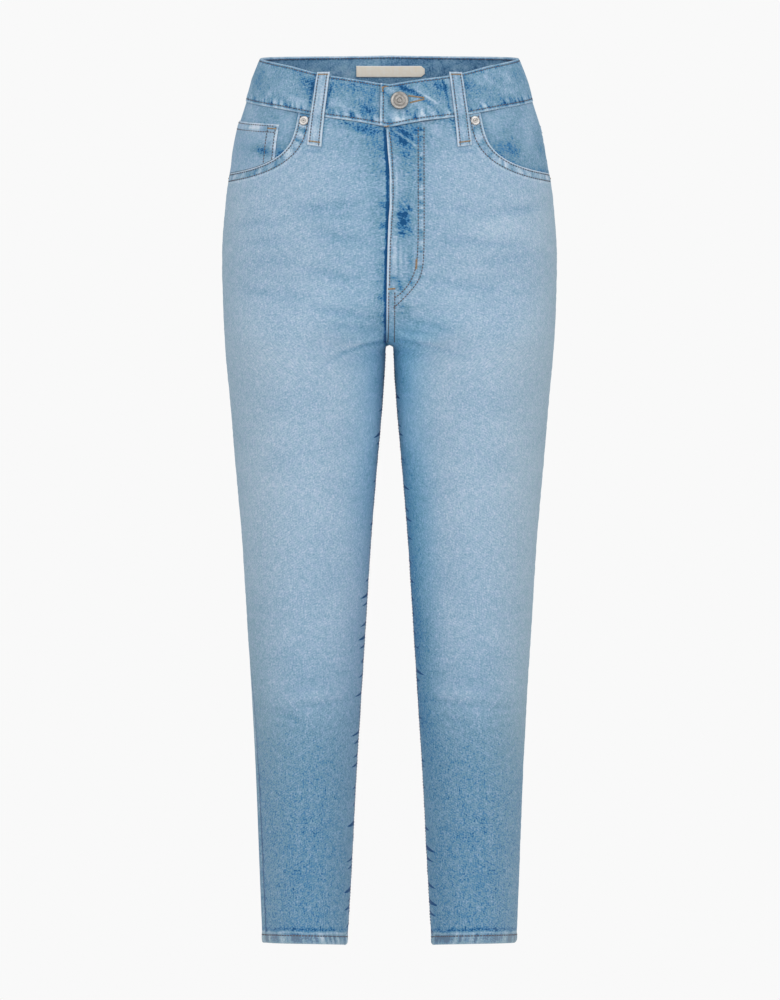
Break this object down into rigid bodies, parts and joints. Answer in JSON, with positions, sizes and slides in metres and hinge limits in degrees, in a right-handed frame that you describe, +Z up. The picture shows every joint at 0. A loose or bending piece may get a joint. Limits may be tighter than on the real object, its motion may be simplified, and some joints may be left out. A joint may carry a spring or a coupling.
{
  "type": "mom jeans",
  "caption": "High-waisted tapered jeans in light stretch denim, hollow and upright as worn, with zip fly, scooped front pockets and cropped legs.",
  "frame": {"origin": "centre of the waist opening at the waistband's mid height, where a wearer's waist or a hanger holds the jeans up", "axes": "+X the wearer's left, the front faces -Y, +Z up out of the waist opening"},
  "size_m": [0.3684, 0.2339, 0.9825],
  "materials": {
    "denim": "faded twill denim",
    "pocket_mouth_denim": "less faded twill denim",
    "pocketing": "plain cotton",
    "label_cream": "woven satin",
    "silver_metal": "brushed"
  },
  "bodies": {
    "root": {"front_left": "denim", "back_left": "denim", "yoke_left": "denim", "back_pocket_left": "denim", "belt_loop_front_left": "denim", "belt_loop_back_left": "denim", "pocket_facing_left": "pocket_mouth_denim", "pocket_bag_left": "pocketing", "rivet_left": "silver_metal", "front_right": "denim", "back_right": "denim", "yoke_right": "denim", "back_pocket_right": "denim", "belt_loop_front_right": "denim", "belt_loop_back_right": "denim", "pocket_facing_right": "pocket_mouth_denim", "pocket_bag_right": "pocketing", "rivet_right": "silver_metal", "waistband": "denim", "belt_loop_centre": "denim", "coin_pocket": "pocket_mouth_denim", "fly_shield": "pocket_mouth_denim", "zip": "silver_metal", "button": "silver_metal", "waist_label": "label_cream"}
  },
  "joints": []
}
